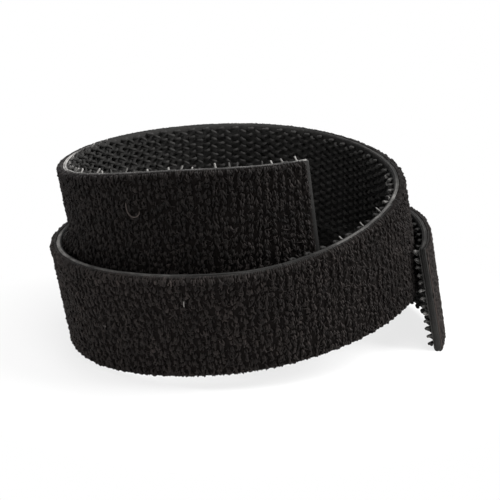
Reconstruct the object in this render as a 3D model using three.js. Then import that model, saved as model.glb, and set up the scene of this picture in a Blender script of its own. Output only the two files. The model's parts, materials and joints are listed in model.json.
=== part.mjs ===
// A short length of back-to-back hook and loop tape, wound loosely and telescoped into an open roll.
// Millimetres, +Z up. The roll stands on z = 0, with the origin in the middle of its footprint.

import * as THREE from 'three';

// The tape, measured flat. The loop side is the outside of the roll, the hook side its inside.
const TAPE_WIDTH = 20;
const PILE_DEPTH = 0.9;
const LOOP_GROUND_THICKNESS = 0.4;
const BOND_FILM_THICKNESS = 0.15;
const HOOK_GROUND_THICKNESS = 0.4;
const HOOK_FLOOR_THICKNESS = 0.25;
const HOOK_HEIGHT = 0.85;
const LAYER_CLEARANCE = 0.05;

// Rows of hooks, as rails along the tape. A stem stands up from the floor and curls over to a beak.
const HOOK_ROWS = 13;
const HOOK_ROW_PITCH = 1.5;
const HOOK_STEM_WIDTH = 0.5;
const HOOK_REACH = 0.62;
const HOOK_CURL = 0.3;
const BEAK_DROP = 0.5;

// The winding, clockwise seen from above, from the inner end to the outer end.
const INNER_RADIUS = 28;
const INNER_END_BEARING = -65;
const TURN_CLEARANCE = 0.5;
const FACET_ARC = 12;
const FLOOR_CUT = 0.5;
const INNER_CUT_SLANT = 6;

// The two free ends bend at links of equal arc. Angles are in degrees.
const LINK_ARC = 36;
const OUTER_LINKS = 4;
const INNER_LINKS = 2;
const PEEL_ANGLE = 36;
const FLEX_ANGLE = 25;
const LINK_CLEARANCE = 0.3;

// How the loose roll departs from an even flat spiral, station by station along the winding:
// how far the tape bulges outwards, the height of its lower edge, and the lean of its top outwards.
const STATIONS = [
  { arc: 0, bulge: 0, foot: 19.5, lean: 0 },
  { arc: 36, bulge: 0.4, foot: 18.5, lean: 2 },
  { arc: 115, bulge: 1.4, foot: 13.3, lean: 10 },
  { arc: 205, bulge: -1, foot: 14.2, lean: 1 },
  { arc: 295, bulge: -0.5, foot: 11, lean: -10 },
  { arc: 385, bulge: -0.5, foot: 3.4, lean: 17 },
  { arc: 475, bulge: -0.5, foot: -FLOOR_CUT, lean: 8.5 },
  { arc: 528, bulge: 0.5, foot: -FLOOR_CUT, lean: 0 },
  { arc: 600, bulge: 1.8, foot: 0.5, lean: 0 },
  { arc: 636, bulge: 1.4, foot: 1.5, lean: -9 },
  { arc: 672, bulge: 1.3, foot: 0, lean: -10 },
];
const WOUND_ARC = STATIONS[STATIONS.length - 1].arc;

// Faces of the layers, measured outwards from the middle of the bond film.
const FILM_FACE = BOND_FILM_THICKNESS / 2;
const LOOP_GROUND_BACK = FILM_FACE + LAYER_CLEARANCE;
const LOOP_GROUND_FACE = LOOP_GROUND_BACK + LOOP_GROUND_THICKNESS;
const PILE_BACK = LOOP_GROUND_FACE + LAYER_CLEARANCE;
const PILE_FACE = PILE_BACK + PILE_DEPTH;
const HOOK_GROUND_BACK = -FILM_FACE - LAYER_CLEARANCE;
const HOOK_GROUND_FACE = HOOK_GROUND_BACK - HOOK_GROUND_THICKNESS;
const HOOK_BACK = HOOK_GROUND_FACE - LAYER_CLEARANCE;
const HOOK_FLOOR = HOOK_BACK - HOOK_FLOOR_THICKNESS;
const HOOK_TIP = HOOK_FLOOR - HOOK_HEIGHT;
const TURN_GROWTH = PILE_FACE - HOOK_TIP + TURN_CLEARANCE;

// Height along the tape's width of its two cut edges.
const UPPER_EDGE = TAPE_WIDTH / 2;
const LOWER_EDGE = -TAPE_WIDTH / 2;

const UP = new THREE.Vector3(0, 0, 1);
const FULL_TURN = 360;
const TANGENT_STEP = 0.5;

const radians = THREE.MathUtils.degToRad;
const degrees = THREE.MathUtils.radToDeg;

// A smooth curve through the stations that never overshoots them, so that flat stretches stay flat.
function stationCurve(key) {
  const arcs = STATIONS.map((station) => station.arc);
  const values = STATIONS.map((station) => station[key]);
  const spans = arcs.slice(1).map((arc, i) => arc - arcs[i]);
  const slopes = spans.map((span, i) => (values[i + 1] - values[i]) / span);
  const last = spans.length;
  const tangents = values.map((_, i) => {
    if (i === 0) return slopes[0];
    if (i === last) return slopes[last - 1];
    if (slopes[i - 1] * slopes[i] <= 0) return 0;
    const before = 2 * spans[i] + spans[i - 1];
    const after = spans[i] + 2 * spans[i - 1];
    return (before + after) / (before / slopes[i - 1] + after / slopes[i]);
  });
  return (arc) => {
    let i = 0;
    while (i < last - 1 && arc > arcs[i + 1]) i += 1;
    const t = (arc - arcs[i]) / spans[i];
    const u = 1 - t;
    return (1 + 2 * t) * u * u * values[i] + t * u * u * spans[i] * tangents[i]
      + t * t * (3 - 2 * t) * values[i + 1] - t * t * u * spans[i] * tangents[i + 1];
  };
}

const bulgeAt = stationCurve('bulge');
const footAt = stationCurve('foot');
const leanAt = stationCurve('lean');

function radiusAt(arc) {
  return INNER_RADIUS + TURN_GROWTH * arc / FULL_TURN + bulgeAt(arc);
}

// Middle of the tape's width and thickness at an arc along the winding.
function middleAt(arc) {
  const bearing = radians(INNER_END_BEARING - arc);
  const radius = radiusAt(arc);
  const height = footAt(arc) + UPPER_EDGE * Math.cos(radians(leanAt(arc)));
  return new THREE.Vector3(radius * Math.cos(bearing), radius * Math.sin(bearing), height);
}

// The tape's own axes at an arc: along runs to the outer end, across up the width, out to the loops.
function frameAt(arc) {
  const middle = middleAt(arc);
  const along = middleAt(arc + TANGENT_STEP).sub(middleAt(arc - TANGENT_STEP)).normalize();
  const outwards = new THREE.Vector3().crossVectors(UP, along).normalize();
  const lean = radians(leanAt(arc));
  const across = UP.clone().multiplyScalar(Math.cos(lean)).addScaledVector(outwards, Math.sin(lean));
  across.addScaledVector(along, -across.dot(along)).normalize();
  const out = new THREE.Vector3().crossVectors(across, along);
  return { middle, along, across, out };
}

// A point of the tape, out from the bond film and up the width. The lower edge is cut level at the floor.
function tapePoint(frame, out, height) {
  const floorHeight = -(frame.middle.z + out * frame.out.z) / frame.across.z;
  const cutHeight = Math.max(height, floorHeight);
  return frame.middle.clone().addScaledVector(frame.out, out).addScaledVector(frame.across, cutHeight);
}

// Sections of the layers, as corners [out, height] that run anticlockwise seen from the outer end.
function ribbonSection(back, face) {
  return [[back, LOWER_EDGE], [face, LOWER_EDGE], [face, UPPER_EDGE], [back, UPPER_EDGE]];
}

// One hook that curls down the width: up the back of the stem, over the crest to the beak, and back down.
const HOOK_PROFILE = [
  [HOOK_FLOOR, HOOK_STEM_WIDTH / 2],
  [HOOK_TIP + HOOK_CURL, HOOK_STEM_WIDTH / 2],
  [HOOK_TIP, 0],
  [HOOK_TIP + HOOK_CURL / 2, -HOOK_REACH],
  [HOOK_TIP + BEAK_DROP, -HOOK_REACH],
  [HOOK_TIP + HOOK_CURL, -HOOK_STEM_WIDTH / 2],
  [HOOK_FLOOR, -HOOK_STEM_WIDTH / 2],
];
const MIRRORED_HOOK_PROFILE = HOOK_PROFILE.map(([out, height]) => [out, -height]).reverse();

// The hook floor with its rows, which curl down and up the width by turns.
function hookSection() {
  const corners = ribbonSection(HOOK_FLOOR, HOOK_BACK);
  const topRow = HOOK_ROW_PITCH * (HOOK_ROWS - 1) / 2;
  for (let row = 0; row < HOOK_ROWS; row += 1) {
    const centre = topRow - row * HOOK_ROW_PITCH;
    const profile = row % 2 === 0 ? HOOK_PROFILE : MIRRORED_HOOK_PROFILE;
    corners.push(...profile.map(([out, height]) => [out, centre + height]));
  }
  return corners;
}

// The inner end is cut at a slant: below the upper edge the tape reaches back past its first arc.
function cutArc(arc, height) {
  if (arc > 0) return arc;
  return -degrees((UPPER_EDGE - height) * Math.tan(radians(INNER_CUT_SLANT)) / INNER_RADIUS);
}

// Carries a section along the winding between two arcs, as one closed body. Each side strip is split
// along the diagonal that rises towards the outer end, so that neighbouring layers bend alike.
function sweep(section, startArc, endArc) {
  const arcs = [startArc];
  for (let arc = Math.ceil(startArc / FACET_ARC) * FACET_ARC; arc < endArc; arc += FACET_ARC) {
    if (arc > startArc) arcs.push(arc);
  }
  arcs.push(endArc);
  const positions = [];
  for (const arc of arcs) {
    for (const [out, height] of section) {
      positions.push(...tapePoint(frameAt(cutArc(arc, height)), out, height));
    }
  }
  const count = section.length;
  const indices = [];
  for (let ring = 0; ring < arcs.length - 1; ring += 1) {
    for (let corner = 0; corner < count; corner += 1) {
      const next = (corner + 1) % count;
      const a = ring * count + corner;
      const b = ring * count + next;
      const c = b + count;
      const d = a + count;
      if (section[corner][1] < section[next][1]) indices.push(a, b, c, a, c, d);
      else indices.push(a, b, d, b, c, d);
    }
  }
  const outline = section.map(([out, height]) => new THREE.Vector2(out, height));
  const lastRing = (arcs.length - 1) * count;
  for (const [i, j, k] of THREE.ShapeUtils.triangulateShape(outline, [])) {
    indices.push(k, j, i, lastRing + i, lastRing + j, lastRing + k);
  }
  const geometry = new THREE.BufferGeometry();
  geometry.setAttribute('position', new THREE.Float32BufferAttribute(positions, 3));
  geometry.setIndex(indices);
  geometry.computeVertexNormals();
  return geometry;
}

// The five layers, from the outside of the roll to its inside.
const WOVEN = { color: 0x4a4848, roughness: 0.85, metalness: 0 };
const LAYERS = [
  {
    name: 'loop_pile',
    section: ribbonSection(PILE_BACK, PILE_FACE),
    finish: { color: 0x1f1c1b, roughness: 0.95, metalness: 0 },
  },
  { name: 'loop_ground', section: ribbonSection(LOOP_GROUND_BACK, LOOP_GROUND_FACE), finish: WOVEN },
  {
    name: 'bond_film',
    section: ribbonSection(-FILM_FACE, FILM_FACE),
    finish: { color: 0x7c7b7a, roughness: 0.6, metalness: 0 },
  },
  { name: 'hook_ground', section: ribbonSection(HOOK_GROUND_FACE, HOOK_GROUND_BACK), finish: WOVEN },
  {
    name: 'hook_rows',
    section: hookSection(),
    finish: { color: 0x232526, roughness: 0.5, metalness: 0 },
  },
];

// The free ends turn at the ribbon face on the side that closes up: the loop ground's face where the
// outer end peels away, the hook ground's face where the inner end curls in.
const OUTWARDS = 1;
const INWARDS = -1;
const PEEL = { pivot: LOOP_GROUND_FACE, closes: OUTWARDS, angle: PEEL_ANGLE };
const FLEX = { pivot: HOOK_GROUND_FACE, closes: INWARDS, angle: FLEX_ANGLE };

// Arc that a layer is cut back at a bend, so that what closes up on that side still has room.
function cutBack(layer, bend, arc) {
  const reach = Math.max(...layer.section.map(([out]) => bend.closes * (out - bend.pivot)), 0);
  const wedge = reach * Math.tan(radians(bend.angle / 2));
  return degrees((LINK_CLEARANCE / 2 + wedge) / radiusAt(arc));
}

// One stretch of the tape, with its five layers, in a group that stands at its bend.
function stretch(name, start, end, origin) {
  const group = new THREE.Group();
  for (const layer of LAYERS) {
    const startArc = start.arc + (start.bend ? cutBack(layer, start.bend, start.arc) : 0);
    const endArc = end.arc - (end.bend ? cutBack(layer, end.bend, end.arc) : 0);
    const geometry = sweep(layer.section, startArc, endArc).translate(-origin.x, -origin.y, -origin.z);
    const mesh = new THREE.Mesh(geometry, new THREE.MeshStandardMaterial(layer.finish));
    mesh.name = `${name}_${layer.name}`;
    group.add(mesh);
  }
  return group;
}

// Axis of a bend: across the tape, at the ribbon face that it turns on.
function bendAxis(bend, arc) {
  const frame = frameAt(arc);
  return { point: tapePoint(frame, bend.pivot, 0), direction: frame.across };
}

const INNER_BENDS = Array.from({ length: INNER_LINKS }, (_, i) => (INNER_LINKS - i) * LINK_ARC);
const OUTER_BENDS = Array.from({ length: OUTER_LINKS }, (_, i) => WOUND_ARC - (OUTER_LINKS - i) * LINK_ARC);

// A chain of links, each group inside the one before it, from the winding to the tape's free end.
function tail(name, bends, bend, spanOf) {
  const links = bends.map((arc, i) => {
    const { point, direction } = bendAxis(bend, arc);
    const { start, end } = spanOf(i);
    const linkName = `${name}_${i + 1}`;
    return { name: linkName, point, direction, group: stretch(linkName, start, end, point) };
  });
  links.forEach((link, i) => {
    const carrier = i === 0 ? new THREE.Vector3() : links[i - 1].point;
    link.group.position.subVectors(link.point, carrier);
    if (i > 0) links[i - 1].group.add(link.group);
  });
  return links;
}

const outerTail = tail('outer_tail', OUTER_BENDS, PEEL, (i) => ({
  start: { arc: OUTER_BENDS[i], bend: PEEL },
  end: i + 1 < OUTER_LINKS ? { arc: OUTER_BENDS[i + 1], bend: PEEL } : { arc: WOUND_ARC },
}));
const innerTail = tail('inner_tail', INNER_BENDS, FLEX, (i) => ({
  start: i + 1 < INNER_LINKS ? { arc: INNER_BENDS[i + 1], bend: FLEX } : { arc: 0 },
  end: { arc: INNER_BENDS[i], bend: FLEX },
}));

const winding = stretch('winding', { arc: INNER_BENDS[0], bend: FLEX }, { arc: OUTER_BENDS[0], bend: PEEL },
  new THREE.Vector3());
winding.add(outerTail[0].group, innerTail[0].group);

// Stands the roll with the middle of its footprint at the origin.
const roll = new THREE.Group();
roll.add(winding);
roll.updateMatrixWorld(true);
const footprint = new THREE.Box3().setFromObject(roll, true).getCenter(new THREE.Vector3());
winding.position.set(-footprint.x, -footprint.y, 0);

// Least gap between a turn's loop face and the hook tips of the turn outside it, measured on points.
function leastTurnGap() {
  const heightSteps = 20;
  const arcStep = 3;
  let least = Infinity;
  for (let arc = 0; arc + FULL_TURN <= WOUND_ARC; arc += arcStep) {
    const inner = frameAt(arc);
    const outer = frameAt(arc + FULL_TURN);
    for (let i = 0; i <= heightSteps; i += 1) {
      const point = tapePoint(inner, PILE_FACE, LOWER_EDGE + TAPE_WIDTH * i / heightSteps).sub(outer.middle);
      const out = point.dot(outer.out);
      const inside = Math.max(HOOK_TIP - out, out - PILE_FACE);
      const past = Math.abs(point.dot(outer.across)) - TAPE_WIDTH / 2;
      const apart = Math.hypot(Math.max(inside, 0), Math.max(past, 0));
      least = Math.min(least, apart > 0 ? apart : Math.max(inside, past));
    }
  }
  return least;
}

function tapeLength() {
  const steps = 400;
  let length = 0;
  for (let i = 0; i < steps; i += 1) {
    length += middleAt(WOUND_ARC * i / steps).distanceTo(middleAt(WOUND_ARC * (i + 1) / steps));
  }
  return length;
}

console.log(`least gap between turns ${leastTurnGap().toFixed(2)} mm`);
console.log(`tape length ${tapeLength().toFixed(1)} mm`);
for (const link of [...outerTail, ...innerTail]) {
  const point = link.point.clone().add(winding.position);
  console.log(link.name, 'turns at', point.toArray().map((v) => v.toFixed(4)).join(', '),
    'about', link.direction.toArray().map((v) => v.toFixed(6)).join(', '));
}

export default roll;
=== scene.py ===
# %% [markdown]
# A short length of black back-to-back tape, wound loosely into an open roll that has slipped sideways.
# One face of the tape is a mat of soft loops and the other is rows of stiff hooks. Two woven ribbons carry
# them, and a thin line of glue holds the ribbons together. The imported model gives the bodies that the two
# free ends bend on, so it is loaded first.

# %% Load the frame
import json

import bpy
import numpy as np
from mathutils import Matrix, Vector


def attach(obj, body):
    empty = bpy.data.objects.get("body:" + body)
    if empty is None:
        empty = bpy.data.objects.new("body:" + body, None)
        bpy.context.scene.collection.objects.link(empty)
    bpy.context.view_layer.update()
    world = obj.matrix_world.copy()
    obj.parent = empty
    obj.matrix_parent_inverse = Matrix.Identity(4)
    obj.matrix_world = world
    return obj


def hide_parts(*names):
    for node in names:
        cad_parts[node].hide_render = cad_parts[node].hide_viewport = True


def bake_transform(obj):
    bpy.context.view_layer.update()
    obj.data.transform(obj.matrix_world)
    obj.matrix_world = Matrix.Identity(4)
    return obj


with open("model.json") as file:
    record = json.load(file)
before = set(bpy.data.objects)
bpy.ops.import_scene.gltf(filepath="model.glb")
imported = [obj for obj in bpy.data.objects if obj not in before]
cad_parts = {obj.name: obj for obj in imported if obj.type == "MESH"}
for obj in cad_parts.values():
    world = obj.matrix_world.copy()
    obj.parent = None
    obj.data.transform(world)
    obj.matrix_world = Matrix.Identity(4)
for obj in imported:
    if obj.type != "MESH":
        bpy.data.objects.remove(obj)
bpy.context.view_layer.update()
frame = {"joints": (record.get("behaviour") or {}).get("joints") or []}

# %% [markdown]
# The tape's lengths below are in millimetres and its arcs in degrees, as a maker would measure them, and
# they become metres only when a point is placed. The layers are stacked from the middle of the glue line:
# positive is outwards, to the loops, and negative is inwards, to the hooks.

# %% Sizes of the tape
MM = 0.001
TAPE_WIDTH = 20.0
GLUE_THICKNESS = 0.15
WEAVE_THICKNESS = 0.4
LAYER_GAP = 0.05
PILE_DEPTH = 0.9
HOOK_BED_THICKNESS = 0.25
HOOK_HEIGHT = 0.85
TURN_GAP = 0.5

HALF_WIDTH = TAPE_WIDTH / 2
GLUE_FACE = GLUE_THICKNESS / 2
WEAVE_BACK = GLUE_FACE + LAYER_GAP
WEAVE_FACE = WEAVE_BACK + WEAVE_THICKNESS
PILE_BACK = WEAVE_FACE + LAYER_GAP
PILE_FACE = PILE_BACK + PILE_DEPTH
HOOK_BACK = -WEAVE_FACE - LAYER_GAP
HOOK_BED = HOOK_BACK - HOOK_BED_THICKNESS
HOOK_TIP = HOOK_BED - HOOK_HEIGHT
TURN_GROWTH = PILE_FACE - HOOK_TIP + TURN_GAP
print(f"tape thickness {PILE_FACE - HOOK_TIP:.2f} mm, one turn grows the radius by {TURN_GROWTH:.2f} mm")

# %% [markdown]
# The roll is a spiral, but a loose one: it bulges, its turns have slipped up and down, and the tape leans.
# A few stations along the winding hold those three departures, each measured at an angle from the inner
# end. Between the stations a curve that never overshoots them keeps the flat stretches flat, which a plain
# spline would not do.

# %% The winding's stations
FULL_TURN = 360.0
INNER_RADIUS = 28.0
INNER_END_BEARING = -65.0
FLOOR_CUT = 0.5
STATIONS = np.array([
    # arc, bulge outwards, height of the lower edge, lean of the top edge outwards
    (0, 0, 19.5, 0),
    (36, 0.4, 18.5, 2),
    (115, 1.4, 13.3, 10),
    (205, -1, 14.2, 1),
    (295, -0.5, 11, -10),
    (385, -0.5, 3.4, 17),
    (475, -0.5, -FLOOR_CUT, 8.5),
    (528, 0.5, -FLOOR_CUT, 0),
    (600, 1.8, 0.5, 0),
    (636, 1.4, 1.5, -9),
    (672, 1.3, 0, -10),
])
STATION_ARCS = STATIONS[:, 0]
WOUND_ARC = STATION_ARCS[-1]


def curve_through(values):
    """A cubic between each two stations. The slope at a station is the weighted harmonic mean of the slopes
    on its two sides, or zero where they disagree in sign, so the curve stays between its stations."""
    spans = np.diff(STATION_ARCS)
    slopes = np.diff(values) / spans
    before = 2 * spans[1:] + spans[:-1]
    after = spans[1:] + 2 * spans[:-1]
    agree = slopes[:-1] * slopes[1:] > 0
    left = np.where(agree, slopes[:-1], 1)
    right = np.where(agree, slopes[1:], 1)
    inner = np.where(agree, (before + after) / (before / left + after / right), 0)
    tangents = np.concatenate([slopes[:1], inner, slopes[-1:]])

    def at(arc):
        """The values and the slopes at the two stations round an arc, each times its own cubic weight."""
        i = np.clip(np.searchsorted(STATION_ARCS, arc, side="right") - 1, 0, len(spans) - 1)
        t = (arc - STATION_ARCS[i]) / spans[i]
        u = 1 - t
        ends = (1 + 2 * t) * u * u * values[i] + t * t * (3 - 2 * t) * values[i + 1]
        return ends + t * u * spans[i] * (u * tangents[i] - t * tangents[i + 1])

    return at


bulge_at, foot_at, lean_at = (curve_through(STATIONS[:, column]) for column in (1, 2, 3))
print("bulge at the end of the first turn:", round(float(bulge_at(FULL_TURN)), 2), "mm")

# %% [markdown]
# Each place on the tape has three directions: along it, across its width, and out towards the loops. A
# point of the tape is then three plain numbers: how far along, how high on the width, how far out. Every
# piece below is laid out flat in those numbers and wound up by the same function, so that all layers stay
# together in the bends.

# %% Wind a flat point onto the roll
TANGENT_STEP = 0.5
UP = np.array([0.0, 0.0, 1.0])


def unit(vectors):
    """Each vector divided by its length."""
    return vectors / np.linalg.norm(vectors, axis=-1, keepdims=True)


def middle_at(arc):
    """Centre of the tape: a spiral whose radius grows evenly with the arc, plus the bulge, at the height of
    the lower edge plus half a width that leans."""
    bearing = np.radians(INNER_END_BEARING - arc)
    radius = INNER_RADIUS + TURN_GROWTH * arc / FULL_TURN + bulge_at(arc)
    height = foot_at(arc) + HALF_WIDTH * np.cos(np.radians(lean_at(arc)))
    return np.stack([radius * np.cos(bearing), radius * np.sin(bearing), height], axis=-1)


def directions_at(arc):
    """Along is the difference of two near points. Across leans from upright towards the level outward
    direction and is made square to along, and out is square to both."""
    along = unit(middle_at(arc + TANGENT_STEP) - middle_at(arc - TANGENT_STEP))
    level = unit(np.cross(UP, along))
    lean = np.radians(lean_at(arc))[..., None]
    across = np.cos(lean) * UP + np.sin(lean) * level
    across = unit(across - (across * along).sum(-1, keepdims=True) * along)
    return along, across, np.cross(across, along)


def wind(arc, height, out, lowest=0.0):
    """Middle plus height times across plus out times the out direction, in metres in the model's frame. The
    height is raised to where the point is as high as lowest, so the lower edge is cut level at the floor."""
    arc, height, out = np.broadcast_arrays(np.asarray(arc, float), height, out)
    middle = middle_at(arc)
    _, across, outward = directions_at(arc)
    floor_height = (lowest - middle[..., 2] - out * outward[..., 2]) / across[..., 2]
    height = np.maximum(height, floor_height)
    point = middle + height[..., None] * across + out[..., None] * outward
    return point * MM + roll_axis


# The hinge is first wound round an axis at zero. How far it then is from the frame's hinge gives the axis.
FIRST_PEEL_ARC = 528.0
roll_axis = np.zeros(3)
first_hinge = next(joint for joint in frame["joints"] if joint["name"] == "outer_peel_1")
roll_axis = np.array(first_hinge["pos_m"]) - wind(FIRST_PEEL_ARC, 0.0, WEAVE_FACE)
print("axis of the roll in the model's frame, mm:", np.round(roll_axis / MM, 3))

# %% [markdown]
# Loops, hooks and weave repeat by length, not by angle, so the winding's length is added up once and used
# as a ruler: run is the length from the inner end. That end was cut at a slant, so its lower corner sits
# further back than its upper one.

# %% A ruler along the tape
INNER_CUT_SLANT = 6.0
SLANT_FADE = 6.0
RULER_STEPS = 3000
ruler_arcs = np.linspace(0, WOUND_ARC, RULER_STEPS)
ruler_steps = np.linalg.norm(np.diff(middle_at(ruler_arcs), axis=0), axis=-1)
ruler_runs = np.concatenate([[0], np.cumsum(ruler_steps)])
TAPE_LENGTH = ruler_runs[-1]


def run_at(arc):
    """The length up to an arc, read from the ruler."""
    return np.interp(arc, ruler_arcs, ruler_runs)


def arc_at(run):
    """Read back from the ruler, and carried on evenly past the two cut ends."""
    inside = np.interp(run, ruler_runs, ruler_arcs)
    past = np.clip(run - TAPE_LENGTH, 0, None) + np.clip(run, None, 0)
    return inside + past * WOUND_ARC / TAPE_LENGTH


def place(run, height, out, lowest=0.0):
    """A flat point on the roll. At the inner end its run is pulled back by its distance below the upper edge
    times the tangent of the slant, and that fades out evenly along the tape."""
    run, height, out = np.broadcast_arrays(np.asarray(run, float), height, out)
    fade = np.clip(1 - run / SLANT_FADE, 0, 1)
    pulled = run - fade * (HALF_WIDTH - height) * np.tan(np.radians(INNER_CUT_SLANT))
    return wind(arc_at(pulled), height, out, lowest)


print(f"length of the tape {TAPE_LENGTH:.1f} mm")

# %% [markdown]
# The photograph looks slightly down on the front of the roll from close by, so the far side is smaller than
# the near side. A long lens at the same distance gives the same perspective.

# %% Camera
CAMERA_AZIMUTH = 0.4
CAMERA_ELEVATION = 16.8
CAMERA_DISTANCE = 260.0
CAMERA_AIM = np.array([-0.24, -0.05, 16.07])
CAMERA_LENS = 100.0


def towards(azimuth, elevation):
    """Unit direction to a place at that azimuth, turned from the front to the right, and that elevation."""
    turn, rise = np.radians(azimuth), np.radians(elevation)
    return np.array([np.sin(turn) * np.cos(rise), -np.cos(turn) * np.cos(rise), np.sin(rise)])


def aim(thing, stand, target):
    """Put a camera or a lamp at its stand and turn its own minus Z to the target."""
    thing.location = Vector(stand)
    thing.rotation_euler = (Vector(target) - Vector(stand)).to_track_quat("-Z", "Y").to_euler()


camera_data = bpy.data.cameras.new("camera")
camera_data.lens = CAMERA_LENS
camera = bpy.data.objects.new("camera", camera_data)
bpy.context.scene.collection.objects.link(camera)
camera_place = CAMERA_AIM + CAMERA_DISTANCE * towards(CAMERA_AZIMUTH, CAMERA_ELEVATION)
aim(camera, camera_place * MM, CAMERA_AIM * MM)
bpy.context.scene.camera = camera
print("camera at, mm:", np.round(camera_place, 1))

# %% [markdown]
# The light is that of a white photo tent: soft from all round, with one broad lamp high on the right, a
# weaker one low on the left and one overhead. The right one reaches the left wall of the bore and the
# overhead one its far wall. The low one doesn't reach over the rim, so the right wall of the bore stays
# dark. A weak lamp behind the roll is there for the views from the back. Black cloth shows its texture only
# by small glints, so the lamps are large rather than bright.

# %% Lamps
bpy.context.scene.view_settings.view_transform = "Standard"
LAMP_TARGET = (0, 0, 0.02)  # metres


def lamp(name, azimuth, elevation, distance, size, power):
    """A round lamp of that size in metres, at that distance from the origin, aimed at the roll's middle."""
    data = bpy.data.lights.new(name, "AREA")
    data.shape = "DISK"
    data.size = size
    data.energy = power
    made = bpy.data.objects.new(name, data)
    bpy.context.scene.collection.objects.link(made)
    aim(made, distance * towards(azimuth, elevation), LAMP_TARGET)


lamp("key_lamp", azimuth=80, elevation=42, distance=0.7, size=0.4, power=10.0)
lamp("fill_lamp", azimuth=-52, elevation=17, distance=0.8, size=0.3, power=2.5)
lamp("high_lamp", azimuth=20, elevation=66, distance=0.8, size=0.4, power=2.8)
lamp("back_lamp", azimuth=195, elevation=32, distance=0.8, size=0.4, power=2.2)

# %% [markdown]
# The tent's cloth is the world. What it sheds on the object is weak, and what the camera sees of it is plain
# white. Two background shaders, mixed by the kind of ray, keep the one from changing the other.

# %% World
TENT_STRENGTH = 0.09


def node(tree, kind, inputs=None, **settings):
    """A new node with its settings and the values of its unlinked inputs."""
    made = tree.nodes.new(kind)
    for key, value in settings.items():
        setattr(made, key, value)
    for key, value in (inputs or {}).items():
        made.inputs[key].default_value = value
    return made


def seen_directly(tree):
    """1 for rays from the camera, from gloss or through glass, and 0 for the rays that light the object."""
    path = node(tree, "ShaderNodeLightPath")
    either = node(tree, "ShaderNodeMath", operation="MAXIMUM")
    tree.links.new(path.outputs["Is Camera Ray"], either.inputs[0])
    tree.links.new(path.outputs["Is Glossy Ray"], either.inputs[1])
    all_three = node(tree, "ShaderNodeMath", operation="MAXIMUM")
    tree.links.new(either.outputs[0], all_three.inputs[0])
    tree.links.new(path.outputs["Is Transmission Ray"], all_three.inputs[1])
    return all_three.outputs[0]


world = bpy.data.worlds.new("tent")
world.use_nodes = True
bpy.context.scene.world = world
tent = world.node_tree
tent_light = tent.nodes["Background"]
tent_light.inputs["Color"].default_value = (1, 1, 1, 1)
tent_light.inputs["Strength"].default_value = TENT_STRENGTH
tent_white = node(tent, "ShaderNodeBackground", {"Color": (1, 1, 1, 1), "Strength": 1.0})
tent_mix = node(tent, "ShaderNodeMixShader")
tent.links.new(seen_directly(tent), tent_mix.inputs[0])
tent.links.new(tent_light.outputs[0], tent_mix.inputs[1])
tent.links.new(tent_white.outputs[0], tent_mix.inputs[2])
tent.links.new(tent_mix.outputs[0], tent.nodes["World Output"].inputs["Surface"])
print("world:", world.name, "at strength", TENT_STRENGTH)

# %% [markdown]
# Every piece is computed as arrays of points and faces, and one function puts them into a mesh. It also
# writes two things that the finishes read: a flat map of the tape in millimetres, so that a weave follows
# the winding, and a shade for each strand, so that no two loops are quite alike.

# %% Put arrays into a mesh
triangle_counts = {}


def make_piece(name, points, face_sets, finish, flat_map, shade=None):
    """Points are n by 3 in metres. Each face set is an array of faces with the same number of corners.
    flat_map is n by 2: run and height in millimetres, of the point itself or of its strand's root."""
    mesh = bpy.data.meshes.new(name)
    corners = np.concatenate([faces.ravel() for faces in face_sets]).astype(np.int32)
    counts = np.concatenate([np.full(len(faces), faces.shape[1]) for faces in face_sets])
    starts = np.concatenate([[0], np.cumsum(counts)[:-1]]).astype(np.int32)
    mesh.vertices.add(len(points))
    mesh.vertices.foreach_set("co", np.ascontiguousarray(points, np.float32).ravel())
    mesh.loops.add(len(corners))
    mesh.loops.foreach_set("vertex_index", corners)
    mesh.polygons.add(len(starts))
    mesh.polygons.foreach_set("loop_start", starts)
    mesh.polygons.foreach_set("use_smooth", np.ones(len(starts), bool))
    mesh.update(calc_edges=True)
    layer = mesh.uv_layers.new(name="tape")
    layer.data.foreach_set("uv", np.ascontiguousarray(flat_map[corners], np.float32).ravel())
    if shade is not None:
        mesh.attributes.new("shade", "FLOAT", "POINT").data.foreach_set("value", shade.astype(np.float32))
    mesh.materials.append(finish)
    made = bpy.data.objects.new(name, mesh)
    bpy.context.scene.collection.objects.link(made)
    triangle_counts[name] = int((counts - 2).sum())
    return made


# %% [markdown]
# The floor is a plain pale sheet. Near the roll part of what the camera sees of it is lit, so that the roll
# throws a soft shadow where it stands. Further away all of it is the sheet's own white.

# %% Floor
FLOOR_SIZE = 4.0  # metres
FLOOR_SHADE = 0.85
FLOOR_ROUGHNESS = 0.9
OWN_WHITE_NEAR = 0.78
OWN_WHITE_NEAR_RADIUS = 0.036  # metres
OWN_WHITE_FAR_RADIUS = 0.062  # metres


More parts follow.
